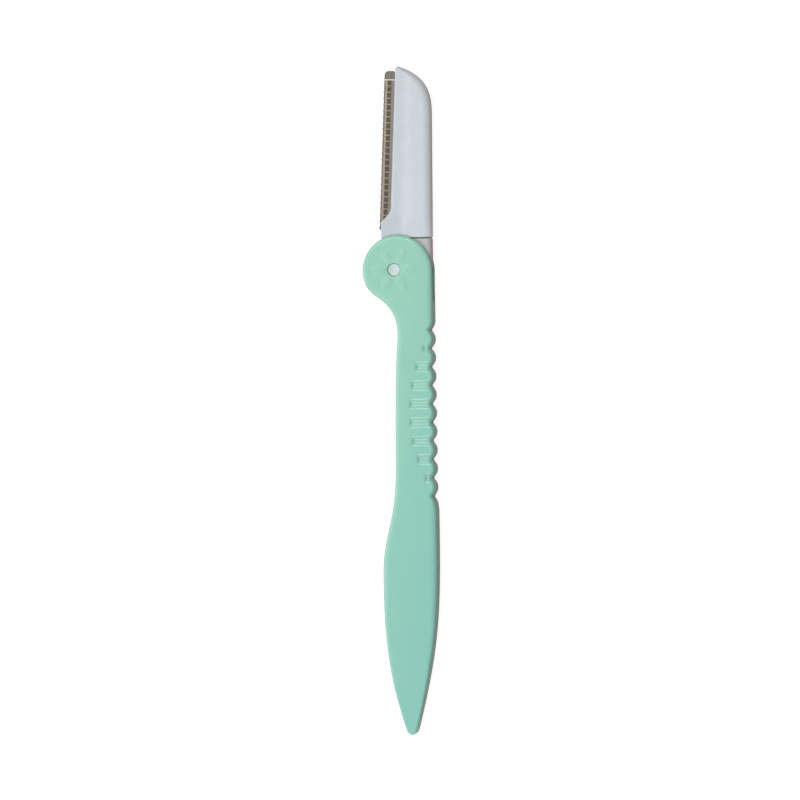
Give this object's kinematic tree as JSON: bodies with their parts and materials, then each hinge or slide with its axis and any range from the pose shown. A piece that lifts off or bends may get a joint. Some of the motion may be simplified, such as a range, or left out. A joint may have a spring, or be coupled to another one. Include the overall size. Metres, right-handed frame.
{
  "type": "folding eyebrow razor",
  "caption": "Folding eyebrow razor: slim moulded handle with a forked knuckle, a white swing-out head and a straight blade behind a windowed foil guard.",
  "frame": {"origin": "middle of the footprint at the back face, with the razor open and lying on its back face", "axes": "+Z from the back face to the front face, +Y along the razor to the blade end, +X to the back edge, so that the cutting edge faces -X"},
  "size_m": [0.0178, 0.164, 0.005],
  "materials": {
    "handle_plastic": "satin moulded",
    "head_plastic": "smooth moulded",
    "blade_steel": "ground",
    "guard_steel": "etched foil"
  },
  "bodies": {
    "handle": {"handle": "handle_plastic"},
    "head": {"hinge_pin": "head_plastic", "blade_arm": "head_plastic", "blade_holder": "head_plastic", "blade": "blade_steel", "blade_guard": "guard_steel"}
  },
  "joints": [
    {"name": "head_fold", "type": "hinge", "parent": "handle", "child": "head", "pos_m": [-0.00082, 0.03205, 0.0024], "axis": [0, 0, 1], "range_deg": [0, 180]}
  ]
}
